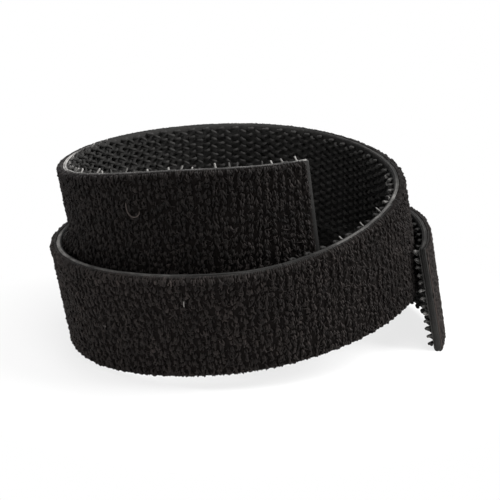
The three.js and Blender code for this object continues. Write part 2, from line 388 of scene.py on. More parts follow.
def floor_finish():
    """Paper mixed with its own white. For rays that see it directly the white's share rises with the distance
    from the middle of the floor, and for the others it is zero."""
    material = bpy.data.materials.new("pale_floor")
    material.use_nodes = True
    tree = material.node_tree
    paper = tree.nodes["Principled BSDF"]
    paper.inputs["Base Color"].default_value = (FLOOR_SHADE, FLOOR_SHADE, FLOOR_SHADE, 1)
    paper.inputs["Roughness"].default_value = FLOOR_ROUGHNESS
    white = node(tree, "ShaderNodeEmission", {"Color": (1, 1, 1, 1), "Strength": 1.0})
    spot = node(tree, "ShaderNodeTexCoord")
    distance = node(tree, "ShaderNodeVectorMath", operation="LENGTH")
    own = node(tree, "ShaderNodeMapRange", {
        "From Min": OWN_WHITE_NEAR_RADIUS, "From Max": OWN_WHITE_FAR_RADIUS,
        "To Min": OWN_WHITE_NEAR, "To Max": 1.0})
    share = node(tree, "ShaderNodeMath", operation="MULTIPLY")
    mix = node(tree, "ShaderNodeMixShader")
    tree.links.new(spot.outputs["Object"], distance.inputs[0])
    tree.links.new(distance.outputs["Value"], own.inputs["Value"])
    tree.links.new(seen_directly(tree), share.inputs[0])
    tree.links.new(own.outputs["Result"], share.inputs[1])
    tree.links.new(share.outputs[0], mix.inputs[0])
    tree.links.new(paper.outputs[0], mix.inputs[1])
    tree.links.new(white.outputs[0], mix.inputs[2])
    tree.links.new(mix.outputs[0], tree.nodes["Material Output"].inputs["Surface"])
    return material


floor_corners = FLOOR_SIZE / 2 * np.array([(-1, -1, 0), (1, -1, 0), (1, 1, 0), (-1, 1, 0)], float)
floor = make_piece("floor", floor_corners, [np.array([[0, 1, 2, 3]])], floor_finish(), floor_corners[:, :2])
print("floor:", FLOOR_SIZE, "m square")

# %% [markdown]
# A finish takes its colour from the two things that the pieces carry: the flat map of the tape and the shade
# of each strand. Noise that is stretched on the flat map gives threads and patches which follow the winding.
# A pattern in space wouldn't, and would cut across the bends.

# %% How a finish is made
WARM = np.array((1.0, 0.81, 0.74))
NEUTRAL = np.array((1.0, 0.97, 0.93))
PATCHES = [(0.82, 0.82, 0.82), (1.18, 1.18, 1.18)]
THREADS = [(0.65, 0.65, 0.65), (1.3, 1.3, 1.3)]
TONE_STOPS = (0.3, 0.7)
NOISE_DETAIL = 3.0
NOISE_ROUGHNESS = 0.6
BUMP_STRENGTH = 0.6


def new_finish(name, roughness, specular):
    """A material with one principled shader, whose roughness and specular level are the same all over."""
    material = bpy.data.materials.new(name)
    material.use_nodes = True
    tree = material.node_tree
    shader = tree.nodes["Principled BSDF"]
    shader.inputs["Roughness"].default_value = roughness
    shader.inputs["Specular IOR Level"].default_value = specular
    return material, tree, shader


def flat_noise(tree, along, across):
    """Noise on the tape's flat map, whose blotches are about along by across millimetres in size."""
    flat = node(tree, "ShaderNodeUVMap", uv_map="tape")
    stretch = node(tree, "ShaderNodeMapping", {"Scale": (1 / along, 1 / across, 1)})
    noise = node(tree, "ShaderNodeTexNoise", {
        "Scale": 1.0, "Detail": NOISE_DETAIL, "Roughness": NOISE_ROUGHNESS})
    tree.links.new(flat.outputs["UV"], stretch.inputs["Vector"])
    tree.links.new(stretch.outputs["Vector"], noise.inputs["Vector"])
    return noise.outputs["Fac"]


def strand_shade(tree):
    """The shade that each point of a piece carries."""
    return node(tree, "ShaderNodeAttribute", attribute_name="shade").outputs["Fac"]


def ramp(tree, source, stops):
    """Colours along a line of stops, each a position and its red, green and blue."""
    made = node(tree, "ShaderNodeValToRGB")
    elements = made.color_ramp.elements
    while len(elements) < len(stops):
        elements.new(0.5)
    for element, (position, (red, green, blue)) in zip(elements, stops):
        element.position = position
        element.color = (red, green, blue, 1)
    tree.links.new(source, made.inputs["Fac"])
    return made.outputs["Color"]


def bump(tree, shader, source, depth):
    """Small relief of that depth in millimetres, too fine for the mesh."""
    made = node(tree, "ShaderNodeBump", {"Strength": BUMP_STRENGTH, "Distance": depth * MM})
    tree.links.new(source, made.inputs["Height"])
    tree.links.new(made.outputs["Normal"], shader.inputs["Normal"])


def toned(tree, colour, tones, size):
    """A colour times a tone, which noise of that size moves from the first tone to the second."""
    mix = node(tree, "ShaderNodeMix", {"Factor": 1.0}, data_type="RGBA", blend_type="MULTIPLY")
    tone = ramp(tree, flat_noise(tree, *size), list(zip(TONE_STOPS, tones)))
    tree.links.new(colour, mix.inputs["A"])
    tree.links.new(tone, mix.inputs["B"])
    return mix.outputs["Result"]


def paled(tree, colour, pale):
    """A colour that turns to a pale one by the shade."""
    mix = node(tree, "ShaderNodeMix", {"B": (*pale, 1)}, data_type="RGBA")
    tree.links.new(strand_shade(tree), mix.inputs["Factor"])
    tree.links.new(colour, mix.inputs["A"])
    return mix.outputs["Result"]


# %% [markdown]
# Loop pile is dull and slightly warm. The mat below is nearly black, because little light gets out of it, and
# the loops on it go from black to a dark brown. The palest end of their range is for the stray fibres.

# %% Finishes of the pile
PILE_PATCH = (9, 7)


def pile_mat_finish():
    """Fine streaks across the tape, from one black to a lesser one, in broad patches."""
    material, tree, shader = new_finish("pile_mat", roughness=0.95, specular=0.05)
    streaks = flat_noise(tree, along=0.3, across=0.9)
    colour = ramp(tree, streaks, [(0.35, 0.002 * WARM), (0.7, 0.006 * WARM)])
    colour = toned(tree, colour, PATCHES, PILE_PATCH)
    tree.links.new(paled(tree, colour, 0.05 * WARM), shader.inputs["Base Color"])
    bump(tree, shader, streaks, depth=0.2)
    return material


def pile_loop_finish():
    """The colour is read along four stops by the shade of each loop, in the same patches."""
    material, tree, shader = new_finish("pile_loops", roughness=0.75, specular=0.15)
    stops = [(0.0, 0.004 * WARM), (0.5, 0.016 * WARM), (0.85, 0.04 * WARM), (1.0, 0.4 * NEUTRAL)]
    colour = ramp(tree, strand_shade(tree), stops)
    tree.links.new(toned(tree, colour, PATCHES, PILE_PATCH), shader.inputs["Base Color"])
    return material


PILE_MAT = pile_mat_finish()
PILE_LOOPS = pile_loop_finish()
print("pile finishes:", PILE_MAT.name, PILE_LOOPS.name)

# %% [markdown]
# The two ribbons and the glue line show only where the tape is cut. There the blade has turned the black yarn
# grey, and how grey it is painted varies along the tape, partly as painted light and shade, so one finish
# with a dark and a pale end serves all three.

# %% Finishes of the ribbons and the glue line
RIBBON_PATCH = (4, 4)
THREAD_SIZE = (0.5, 0.12)


def ribbon_finish(name, dark, pale):
    """Woven threads whose grey goes from dark to pale by the shade, with a tone for each thread."""
    material, tree, shader = new_finish(name, roughness=0.8, specular=0.12)
    threads = flat_noise(tree, *THREAD_SIZE)
    colour = ramp(tree, strand_shade(tree), [(0.0, dark * NEUTRAL), (1.0, pale * NEUTRAL)])
    colour = toned(tree, colour, THREADS, THREAD_SIZE)
    tree.links.new(toned(tree, colour, PATCHES, RIBBON_PATCH), shader.inputs["Base Color"])
    bump(tree, shader, threads, depth=0.08)
    return material


LOOP_RIBBON = ribbon_finish("loop_ribbon", dark=0.008, pale=0.1)
HOOK_RIBBON = ribbon_finish("hook_ribbon", dark=0.007, pale=0.28)
GLUE = ribbon_finish("glue_line", dark=0.01, pale=0.36)
print("ribbon finishes:", LOOP_RIBBON.name, HOOK_RIBBON.name, GLUE.name)

# %% [markdown]
# The hooks are bare nylon wire, a neutral dark grey. The cut stubs are paler, partly as painted highlight,
# the last hooks before the outer cut are painted paler as painted light, and the top rows on the right of the
# bore are painted paler as painted highlight.
# The bed between them is a tight weave and nearly black.

# %% Finishes of the hook side
HOOK_PATCH = (11, 6)


def hook_bed_finish():
    """Fine threads along the tape, in broad patches, greyed by the shade."""
    material, tree, shader = new_finish("hook_bed", roughness=0.85, specular=0.1)
    threads = flat_noise(tree, along=0.7, across=0.25)
    colour = ramp(tree, threads, [(0.3, 0.002 * NEUTRAL), (0.75, 0.014 * NEUTRAL)])
    colour = toned(tree, colour, PATCHES, HOOK_PATCH)
    tree.links.new(paled(tree, colour, 0.05 * NEUTRAL), shader.inputs["Base Color"])
    bump(tree, shader, threads, depth=0.1)
    return material


def hook_wire_finish():
    """The colour is read along three stops by the shade of each hook, in the same patches."""
    material, tree, shader = new_finish("hook_wire", roughness=0.7, specular=0.08)
    stops = [(0.0, 0.008 * NEUTRAL), (0.6, 0.028 * NEUTRAL), (1.0, 0.35 * NEUTRAL)]
    colour = ramp(tree, strand_shade(tree), stops)
    tree.links.new(toned(tree, colour, PATCHES, HOOK_PATCH), shader.inputs["Base Color"])
    return material


HOOK_BED_CLOTH = hook_bed_finish()
HOOK_WIRE = hook_wire_finish()
print("hook finishes:", HOOK_BED_CLOTH.name, HOOK_WIRE.name)

# %% [markdown]
# In the real tape the ends bend smoothly. In the model they turn on a chain of hinges, one for each link.
# So the tape is cut, for the eye invisibly, into stretches that each hold one hinge in their middle and
# are listed with the body before it and the body after it. What lies between the two chains is rigid.

# %% Stretches of the tape
LINK_ARC = 36.0
OUTER_LINKS = 4
INNER_BENDS = [2 * LINK_ARC, LINK_ARC]
OUTER_BENDS = [FIRST_PEEL_ARC + LINK_ARC * i for i in range(OUTER_LINKS)]
RIGID_SPLIT = 3
BLEND_INSET = 1.5


def bending_stretches(tail, bends, sense):
    """One stretch for each bend, half a link to both sides of it. The last one runs on to the cut end.
    Sense is 1 where the chain runs with the arc, and -1 where it runs against it."""
    bodies = ["winding"] + [f"{tail}_{i + 1}" for i in range(len(bends))]
    made = []
    for i, bend in enumerate(bends):
        first = bend - sense * LINK_ARC / 2
        last = bend + sense * LINK_ARC / 2
        end = last
        if i == len(bends) - 1:
            end = WOUND_ARC if sense > 0 else 0.0
        made.append({
            "name": bodies[i + 1],
            "arcs": (min(first, end), max(first, end)),
            "bodies": (bodies[i], bodies[i + 1]),
            "blend": (first + sense * BLEND_INSET, last - sense * BLEND_INSET),
            "stands_for": bodies[i + 1],
        })
    return made


def rigid_stretches():
    """What lies between the two chains, split evenly so that no piece gets too many faces."""
    cuts = np.linspace(INNER_BENDS[0] + LINK_ARC / 2, OUTER_BENDS[0] - LINK_ARC / 2, RIGID_SPLIT + 1)
    return [
        {"name": f"winding_{i + 1}", "arcs": (a, b), "bodies": ("winding",), "stands_for": "winding"}
        for i, (a, b) in enumerate(zip(cuts[:-1], cuts[1:]))
    ]


stretches = bending_stretches("inner_tail", INNER_BENDS, -1)[::-1]
stretches += rigid_stretches()
stretches += bending_stretches("outer_tail", OUTER_BENDS, 1)
pieces = {stretch["name"]: {} for stretch in stretches}
print("stretches:", [(stretch["name"], stretch["arcs"]) for stretch in stretches])

# %% [markdown]
# The two ribbons, the glue line, the mat under the loops and the bed under the hooks are all sheets with a
# thickness. Each is worked out on a grid of run by height: an outer face, an inner face, and walls round
# the rim. Making both faces as one closed ring of points for each step along the tape gives the walls for
# nothing and leaves no open edge.

# %% A sheet with thickness
def ring_faces(rings, around):
    """Quads between each ring of points and the next, closed round the ring."""
    ring, corner = np.meshgrid(np.arange(rings - 1), np.arange(around), indexing="ij")
    here = ring * around + corner
    beside = ring * around + (corner + 1) % around
    return np.stack([here, beside, beside + around, here + around], axis=-1).reshape(-1, 4)


def grid_of(stretch, step, heights, margin=(0.0, 0.0)):
    """Runs along a stretch, evenly spaced by about step, and the heights, as two grids. A margin holds the
    sheet back from the tape's two cut ends."""
    start, end = run_at(np.array(stretch["arcs"]))
    start = max(start, margin[0])
    end = min(end, TAPE_LENGTH - margin[1])
    runs = np.linspace(start, end, int(np.ceil((end - start) / step)) + 1)
    return np.meshgrid(runs, heights, indexing="ij")


def make_sheet(name, runs, heights, outer, inner, finish, shade):
    """At each run a ring of points goes up the outer face and down the inner face. Quads join each ring to
    the next, and at the two ends quads join the faces. The shade is a grid like the runs."""
    count, rows = runs.shape
    faces = np.concatenate([place(runs, heights, outer), place(runs, heights, inner)[:, ::-1]], axis=1)
    flat = np.stack([runs, heights], axis=-1)
    flat_map = np.concatenate([flat, flat[:, ::-1]], axis=1).reshape(-1, 2)
    shades = np.concatenate([shade, shade[:, ::-1]], axis=1).ravel()
    row = np.arange(rows - 1)
    end_wall = np.stack([row, row + 1, 2 * rows - 2 - row, 2 * rows - 1 - row], axis=-1)
    walls = [end_wall[:, ::-1], end_wall + (count - 1) * 2 * rows]
    quads = [ring_faces(count, 2 * rows)] + walls
    return make_piece(name, faces.reshape(-1, 3), quads, finish, flat_map, shades)


# %% [markdown]
# No slit edge is quite straight and no pile quite even. Blender's noise textures could bend the look of a
# surface, but here the unevenness has to be in the shape itself and follow the flat tape, so a small function
# works out smooth random hills from run and height.

# %% Random hills
NOISE_LATTICE = 256


def hills(runs, heights, size, seed):
    """Smooth random hills about size across: seeded heights on a square lattice, eased from each lattice
    point to the next by the curve 3t squared minus 2t cubed, and repeated after the lattice's end."""
    lattice = np.random.default_rng(seed).uniform(-1, 1, (NOISE_LATTICE, NOISE_LATTICE))
    i, j = np.floor(runs / size).astype(int), np.floor(heights / size).astype(int)
    s, t = runs / size - i, heights / size - j
    s, t = s * s * (3 - 2 * s), t * t * (3 - 2 * t)
    corner = [[lattice[(i + a) % NOISE_LATTICE, (j + b) % NOISE_LATTICE] for b in (0, 1)] for a in (0, 1)]
    near = corner[0][0] * (1 - t) + corner[0][1] * t
    far = corner[1][0] * (1 - t) + corner[1][1] * t
    return near * (1 - s) + far * s


hill_sample = hills(ruler_runs, 0 * ruler_runs, size=1.0, seed=1)
print(f"hills along the tape go from {hill_sample.min():.2f} to {hill_sample.max():.2f}")

# %% [markdown]
# The woven ribbons are flat, with edges that are slit, so the edge line wanders a little and is slightly
# rounded. The glue line between them stands back by a hair. The hook ribbon's edge and the glue are pale cut
# yarn, and how pale is set stretch by stretch along the tape: the paler stretches are partly painted light,
# and the dark ones, on the back of the rim and at the seam between the turns, are painted shade. The loop
# ribbon stays dark along its edges, where the pile covers most of it, and is a little paler at the two cut
# ends.

# %% How pale the cut edges are, with painted light and shade
EDGE_PALENESS_AND_LIGHT = np.array([
    # arc, paleness
    (0, 0.5), (2, 0.25), (55, 0.25), (75, 0.35), (92, 0.55), (98, 0.62), (122, 0.62), (132, 0.12),
    (145, 0.0), (290, 0.06), (315, 0.26), (335, 0.2), (350, 0.14), (362, 0.03), (395, 0.03), (408, 0.12),
    (432, 0.15), (440, 0.3), (446, 0.6), (466, 0.85), (474, 0.65), (482, 0.1), (495, 0.0), (615, 0.1),
    (640, 0.04),
])
EDGES_APART = 40.0
EDGE_BREAK_SIZE = 1.5
EDGE_BREAK_DEPTH = 0.85
INNER_END_PALE = 1.1
INNER_END_SHADE = 0.08
OUTER_END_PALE = 0.15
OUTER_END_SHADE = 0.22


def edge_hills(runs, heights, size, seed):
    """Random hills along each edge. The two edges read them far apart, so that they differ."""
    return hills(runs, np.sign(heights) * EDGES_APART, size, seed)


def edge_paleness_and_light(runs, heights):
    """Read between the stations, and broken up along each edge by random hills."""
    # Pale cut yarn, with painted light on the paler stretches and painted shade on the darkest ones.
    pale = np.interp(arc_at(runs), EDGE_PALENESS_AND_LIGHT[:, 0], EDGE_PALENESS_AND_LIGHT[:, 1])
    return pale * (1 + EDGE_BREAK_DEPTH * edge_hills(runs, heights, EDGE_BREAK_SIZE, seed=14))


def end_paleness(runs, heights):
    """A little at the inner end, rising from the middle to the upper corner, where the pile stops short, and
    more at the outer end. Zero elsewhere."""
    upper = np.clip(heights / HALF_WIDTH, 0, 1)
    inner_end = INNER_END_SHADE * upper * (runs < INNER_END_PALE)
    return inner_end + OUTER_END_SHADE * (runs > TAPE_LENGTH - OUTER_END_PALE)


print("palest edge:", EDGE_PALENESS_AND_LIGHT[:, 1].max())

# %% [markdown]
# All three are the same kind of sheet with a different thickness, so one function makes them. The edge takes
# four heights for its round, and the flat between needs only one more.

# %% Woven ribbons and glue line
WEAVE_STEP = 0.5
EDGE_ROUND = 0.12
EDGE_LEFT = 0.35
EDGE_ANGLES = np.radians([90, 60, 30, 0])
EDGE_WANDER = 0.06
EDGE_WANDER_SIZE = 1.3
GLUE_SETBACK = 0.06
GLUE_HALF = HALF_WIDTH - GLUE_SETBACK


def edge_heights(half, rounding):
    """Heights up a section: a quarter round at each edge, and the middle."""
    rise = half - rounding + rounding * np.sin(EDGE_ANGLES)
    return np.concatenate([-rise, [0.0], rise[::-1]])


def edge_thickness(heights, half, rounding):
    """Share of the half thickness left at a height: one on the flat, and in the round a quarter ellipse down
    to the share that is left at the very edge."""
    past = np.clip((np.abs(heights) - (half - rounding)) / rounding, 0, 1)
    return EDGE_LEFT + (1 - EDGE_LEFT) * np.sqrt(1 - past * past)


def ribbon(stretch, layer, low, high, half, finish, paleness, seed):
    """A flat sheet from low to high, rounded at both edges, whose edge lines wander by random hills."""
    heights = edge_heights(half, EDGE_ROUND)
    runs, heights = grid_of(stretch, WEAVE_STEP, heights)
    share = edge_thickness(heights, half, EDGE_ROUND)
    wander = EDGE_WANDER * edge_hills(runs, heights, EDGE_WANDER_SIZE, seed) * (np.abs(heights) > 0)
    middle, reach = (low + high) / 2, (high - low) / 2
    pieces[stretch["name"]][layer] = make_sheet(
        f"{stretch['name']}_{layer}", runs, heights + wander,
        middle + reach * share, middle - reach * share, finish, paleness(runs, heights))


for stretch in stretches:
    ribbon(stretch, "loop_backing", WEAVE_BACK, WEAVE_FACE, HALF_WIDTH,
           LOOP_RIBBON, end_paleness, seed=11)
    ribbon(stretch, "hook_backing", -WEAVE_FACE, -WEAVE_BACK, HALF_WIDTH,
           HOOK_RIBBON, edge_paleness_and_light, seed=12)
    ribbon(stretch, "glue_line", -WEAVE_BACK, WEAVE_BACK, GLUE_HALF,
           GLUE, edge_paleness_and_light, seed=13)
print("ribbons and glue line:", 3 * len(stretches), "pieces")

# %% [markdown]
# Under the loops lies a mat of tangled yarn. Knitted columns cross the tape, and the brushing has matted
# them unevenly, so its face is a row of soft ridges with hills on them. It is pressed flat at the outer end,
# and on the left of the roll the next turn's hooks have drawn it out. Each of these is a function of run and
# height, so the relief is simply their sum.

# %% Relief of the mat
PILE_END_MARGIN = (0.85, 0.1)
MAT_DEPTH = 0.42
COLUMN_PITCH = 1.3
COLUMN_RELIEF = 0.05
COLUMN_SWAY = 0.3
COLUMN_SWAY_SIZE = 2.5
COLUMN_START = 0.35
FIRST_COLUMN = PILE_END_MARGIN[0] + COLUMN_START
MAT_HILLS = [
    # size, depth, seed
    (0.9, 0.08, 21), (0.45, 0.06, 22),
]
FLAT_END_REACH = 30.0
FLAT_END_SHARE = 0.4
HELD_ARCS = (80.0, 104.0, 138.0, 155.0)
HELD_RISE = 2.2
HELD_ABOVE = 2.0
HELD_FADE = 2.5


def column_sway(runs, heights):
    """How far a knitted column strays along the tape: random hills."""
    return COLUMN_SWAY * hills(runs, heights, COLUMN_SWAY_SIZE, seed=20)


def pressed(runs):
    """Share of the pile's depth left: one along the tape, falling evenly to a smaller share at the outer
    end, which has been worn flattest by handling."""
    near_end = np.clip(1 - (TAPE_LENGTH - runs) / FLAT_END_REACH, 0, 1)
    return 1 - (1 - FLAT_END_SHARE) * near_end


def drawn_out(runs, heights):
    """On the left of the roll the next turn's hooks hold the pile and have drawn it out to them. The rise
    starts a little above that turn's upper edge and is full a little below it."""
    arcs = arc_at(runs)
    middle = foot_at(arcs) + HALF_WIDTH * np.cos(np.radians(lean_at(arcs)))
    next_turn = arcs + FULL_TURN
    next_edge = foot_at(next_turn) + TAPE_WIDTH * np.cos(np.radians(lean_at(next_turn)))
    below = np.clip((next_edge + HELD_ABOVE - middle - heights) / HELD_FADE, 0, 1)
    return HELD_RISE * np.interp(arcs, HELD_ARCS, (0, 1, 1, 0)) * below * below * (3 - 2 * below)


def mat_relief(runs, heights):
    """Depth of the mat: ridges one column apart that sway, plus two sizes of random hills, pressed flat at
    the outer end and drawn out where hooks hold it."""
    phase = (runs - FIRST_COLUMN + column_sway(runs, heights)) / COLUMN_PITCH
    relief = MAT_DEPTH + COLUMN_RELIEF * np.cos(2 * np.pi * phase)
    for size, depth, seed in MAT_HILLS:
        relief = relief + depth * hills(runs, heights, size, seed)
    return relief * pressed(runs) + drawn_out(runs, heights)


print(f"columns of the mat: {int((TAPE_LENGTH - FIRST_COLUMN) / COLUMN_PITCH) + 1}")

# %% [markdown]
# The mat is a sheet with that relief on its outer face, thinned towards the slit edges. It stops just short
# of them and further short of the inner cut end, where a strip of the ribbon shows. On the outer turn it is
# painted a little paler, as painted light, and on the inner turn it is left darker, as painted shade.

# %% Mat under the loops
MAT_STEP = 0.32
MAT_EDGE_MARGIN = 0.06
MAT_EDGE_ROUND = 0.25
MAT_EDGE_LEFT = 0.25
MAT_HALF = HALF_WIDTH - MAT_EDGE_MARGIN
# Painted light: the outer turn's pile is painted paler than the inner turn's, which is left darker as painted
# shade.
PAINTED_LIGHT_ARCS = (300.0, 365.0)
MAT_PAINTED_LIGHT = 0.03


def outer_turn_painted_light(run):
    """Zero on the inner turn and one on the outer turn, which is painted paler as painted light."""
    return np.interp(arc_at(run), PAINTED_LIGHT_ARCS, (0, 1))


mat_heights = np.linspace(-MAT_HALF, MAT_HALF, int(2 * MAT_HALF / MAT_STEP) + 1)
for stretch in stretches:
    runs, heights = grid_of(stretch, MAT_STEP, mat_heights, PILE_END_MARGIN)
    from_edge = np.clip((MAT_HALF - np.abs(heights)) / MAT_EDGE_ROUND, 0, 1)
    thinned = MAT_EDGE_LEFT + (1 - MAT_EDGE_LEFT) * np.sqrt(1 - (1 - from_edge) ** 2)
    depth = mat_relief(runs, heights) * thinned
    # Pale at the outer cut end; elsewhere painted a little paler on the outer turn, as painted light.
    shade = np.where(runs > TAPE_LENGTH - OUTER_END_PALE, 1.0, MAT_PAINTED_LIGHT * outer_turn_painted_light(runs))
    pieces[stretch["name"]]["pile_mat"] = make_sheet(
        f"{stretch['name']}_pile_mat", runs, heights,
        PILE_BACK + depth, PILE_BACK + 0 * depth, PILE_MAT, shade)
print("pile mats:", sum(count for name, count in triangle_counts.items() if "mat" in name), "triangles")

# %% [markdown]
# Loops, fuzz and hooks are all strands: thin tubes along a short path. A path is laid out flat, in run,
# height and out, then wound onto the roll. All strands of a kind are computed at once as one array, with
# one row for each strand.

# %% Strands
END_TAPER = 0.7
LENGTH_TOLERANCE = 1e-6


def make_strands(name, paths, radii, sides, finish, flat_map, shade):
    """A ring of points round each path point. The ring lies between the normal of the strand's own plane
    and the direction square to that and to the path, so it doesn't twist, and one face closes each end."""
    count, steps, _ = paths.shape
    tangent = unit(np.gradient(paths, axis=1))
    plane = np.cross(paths[:, steps // 2] - paths[:, 0], paths[:, -1] - paths[:, 0])
    first = np.broadcast_to(unit(plane)[:, None], tangent.shape)
    first = unit(first - (first * tangent).sum(-1, keepdims=True) * tangent)
    second = np.cross(tangent, first)
    angle = 2 * np.pi * np.arange(sides) / sides
    ring = np.cos(angle)[:, None] * first[:, :, None] + np.sin(angle)[:, None] * second[:, :, None]
    points = paths[:, :, None] + (radii * MM)[..., None, None] * ring
    base = np.arange(count)[:, None, None] * steps * sides
    tube = (ring_faces(steps, sides)[None] + base).reshape(-1, 4)
    cap = np.arange(sides)[None] + base[:, 0]
    caps = [cap[:, ::-1], cap + (steps - 1) * sides]
    per_point = steps * sides
    return make_piece(
        name, points.reshape(-1, 3), [tube] + caps, finish,
        np.repeat(flat_map, per_point, axis=0), np.repeat(shade, per_point))


def keep_strands(stretch, run):
    """Which strands are rooted in a stretch. The last stretch also keeps those at its very end."""
    start, end = run_at(np.array(stretch["arcs"]))
    last = end >= TAPE_LENGTH - LENGTH_TOLERANCE
    return (run >= start) & ((run < end) | last)


def place_field(layer, field, sides, finish):
    """The strands of a field, pressed up where they would pass through the floor, and sorted into the
    stretches that they are rooted in. Each is thinner at both ends."""
    run, height, (runs, heights, outs), radius, shade = field
    paths = place(runs, heights, outs, lowest=radius[:, None])
    flat = np.stack([run, height], axis=-1)
    for stretch in stretches:
        kept = keep_strands(stretch, run)
        if not kept.any():
            continue
        radii = np.repeat(radius[kept][:, None], paths.shape[1], axis=1)
        radii[:, [0, -1]] *= END_TAPER
        pieces[stretch["name"]][layer] = make_strands(
            f"{stretch['name']}_{layer}", paths[kept], radii, sides, finish, flat[kept], shade[kept])
    print(layer, "count:", run.size)


# %% [markdown]
# A loop is an arch of yarn: it leaves the mat, rises, leans to one side and goes back in. Real yarn is a
# bundle of fine filaments. One tube of three sides for the whole bundle keeps the faces few, and at the
# size of a loop no corner shows.

# %% An arch of yarn
ARCH_STEPS = 5
ARCH_SIDES = 3
ARCH_SUNK = 0.2
LEAN_ACROSS = 0.3
PILE_SHADES = (0.03, 0.85)


def lay_arches(run, height, reach, rise, turn, lean):
    """Along an arch t goes from 0 to 1: the foot moves by reach times the cosine of half a turn, the height
    above the foot is rise times its sine, and the lean adds to run and, less, to height. The feet are sunk
    a little into the mat."""
    t = np.linspace(0, 1, ARCH_STEPS)[None]
    swing, lift = np.cos(np.pi * t), np.sin(np.pi * t)
    foot = PILE_BACK + mat_relief(run, height) - ARCH_SUNK
    across = reach[:, None] * swing
    runs = run[:, None] + across * np.sin(turn)[:, None] + lean[:, None] * lift
    heights = height[:, None] + across * np.cos(turn)[:, None] + LEAN_ACROSS * lean[:, None] * lift
    outs = foot[:, None] + rise[:, None] * lift
    return runs, heights, outs


print("triangles of an arch:", 2 * ARCH_SIDES * (ARCH_STEPS - 1) + 2 * (ARCH_SIDES - 2))

# %% [markdown]
# A few loops lie together as a tuft, across the tape, and the tufts stand on the knitted columns with dark
# pits between. Seeded random amounts shift every tuft and every loop in it, because an even field would look
# printed.

# %% Tufts of loops
TUFT_ACROSS_PITCH = 0.9
TUFT_SHIFT_ALONG = 0.16
TUFT_SHIFT_ACROSS = 0.2
TUFT_HALF = 0.4
TUFT_TONE = 0.075
TONE_PATCH_SIZE = 3.5
TONE_PATCH_DEPTH = 0.07
LAST_TUFT_MARGIN = 0.3
LOOPS_PER_TUFT = 5
LOOP_SHIFT_ALONG = 0.22
LOOP_SHIFT_ACROSS = 0.16
LOOP_FIRST_MARGIN = PILE_END_MARGIN[0] + 0.1
LOOP_LAST_MARGIN = 0.25
LOOP_RADII = (0.11, 0.17)
LOOP_REACH = (0.25, 0.5)
LOOP_RISE = 0.26
DOME_RISE = 0.2
RISE_VARIES = (0.8, 1.2)
LOOP_TURN = 0.3  # radians
LOOP_LEAN = 0.4
LEAN_VARIES = 0.06
LOOP_SHADE = 0.08
DOME_PAINTED_SHADE = 0.12
LOOP_PAINTED_LIGHT = 0.275
SHADE_VARIES = 0.05


def tuft_places(rng):
    """One tuft at each step up each knitted column, every other column half a step higher, all shifted. A
    tuft's tone is a random amount plus random hills, so that neighbours are alike."""
    columns = np.arange(FIRST_COLUMN, TAPE_LENGTH - LAST_TUFT_MARGIN, COLUMN_PITCH)
    half = HALF_WIDTH - TUFT_ACROSS_PITCH / 2
    rows = np.linspace(-half, half, int(2 * half / TUFT_ACROSS_PITCH))
    run, height = np.meshgrid(columns, rows, indexing="ij")
    height = height + TUFT_ACROSS_PITCH / 4 * np.where(np.arange(len(columns)) % 2, 1, -1)[:, None]
    run, height = run.ravel(), height.ravel()
    run = run - column_sway(run, height) + rng.normal(0, TUFT_SHIFT_ALONG, run.size)
    height = height + rng.normal(0, TUFT_SHIFT_ACROSS, run.size)
    tone = rng.normal(0, TUFT_TONE, run.size)
    return run, height, tone + TONE_PATCH_DEPTH * hills(run, height, TONE_PATCH_SIZE, seed=33)


def tuft_field():
    """A few loops to each tuft. A loop further from the middle of its tuft lies lower, leans outwards and is
    painted darker as painted shade, by one minus the square of its distance, so the tuft is domed."""
    rng = np.random.default_rng(31)
    run, height, tone = (np.repeat(values, LOOPS_PER_TUFT) for values in tuft_places(rng))
    count = run.size
    aside = rng.normal(0, LOOP_SHIFT_ALONG, count)
    domed = 1 - np.clip(aside / TUFT_HALF, -1, 1) ** 2
    run = np.clip(run + aside, LOOP_FIRST_MARGIN, TAPE_LENGTH - LOOP_LAST_MARGIN)
    height = height + rng.normal(0, LOOP_SHIFT_ACROSS, count)
    reach = rng.uniform(*LOOP_REACH, count)
    rise = (LOOP_RISE + DOME_RISE * domed) * rng.uniform(*RISE_VARIES, count) * pressed(run)
    turn = rng.normal(0, LOOP_TURN, count)
    lean = LOOP_LEAN * aside + rng.normal(0, LEAN_VARIES, count)
    room = HALF_WIDTH - LOOP_RADII[1] - reach
    height = np.clip(height, -room, room)
    # Loops low at the rim of a tuft are painted darker, as painted shade in the pits.
    # The outer turn is painted paler, as painted light, and the inner turn darker, as painted shade.
    shade = LOOP_SHADE + DOME_PAINTED_SHADE * domed + LOOP_PAINTED_LIGHT * outer_turn_painted_light(run) + tone
    shade = np.clip(shade + rng.normal(0, SHADE_VARIES, count), *PILE_SHADES)
    radius = rng.uniform(*LOOP_RADII, count)
    return run, height, lay_arches(run, height, reach, rise, turn, lean), radius, shade


place_field("pile_tufts", tuft_field(), ARCH_SIDES, PILE_LOOPS)

# %% [markdown]
# Along each edge loops go round the corner of the tape and cover most of the edge of their ribbon. A straight
# row of them would look like piping, so some are left out and the others differ in reach and slant.

# %% Loops round the edges
EDGE_LOOP_PITCH = 0.26
EDGE_LOOP_KEPT = 0.85
EDGE_LOOP_SHIFT = 0.06
EDGE_LOOP_SKEW = 0.25
EDGE_LOOP_FOOT = 0.15
EDGE_LOOP_OUT = 0.88
EDGE_OUT_VARIES = (0.75, 1.15)
EDGE_LOOP_IN = (0.4, 0.85)
EDGE_FIRST_MARGIN = PILE_END_MARGIN[0] + 0.15
# Lower than the tufts' shade: the loops round the edges are painted darker, as painted shade against the
# light that falls on them where they face up.
EDGE_LOOP_SHADE = 0.1
EDGE_LOOP_PAINTED_LIGHT = 0.26
EDGE_SHADE_VARIES = 0.14


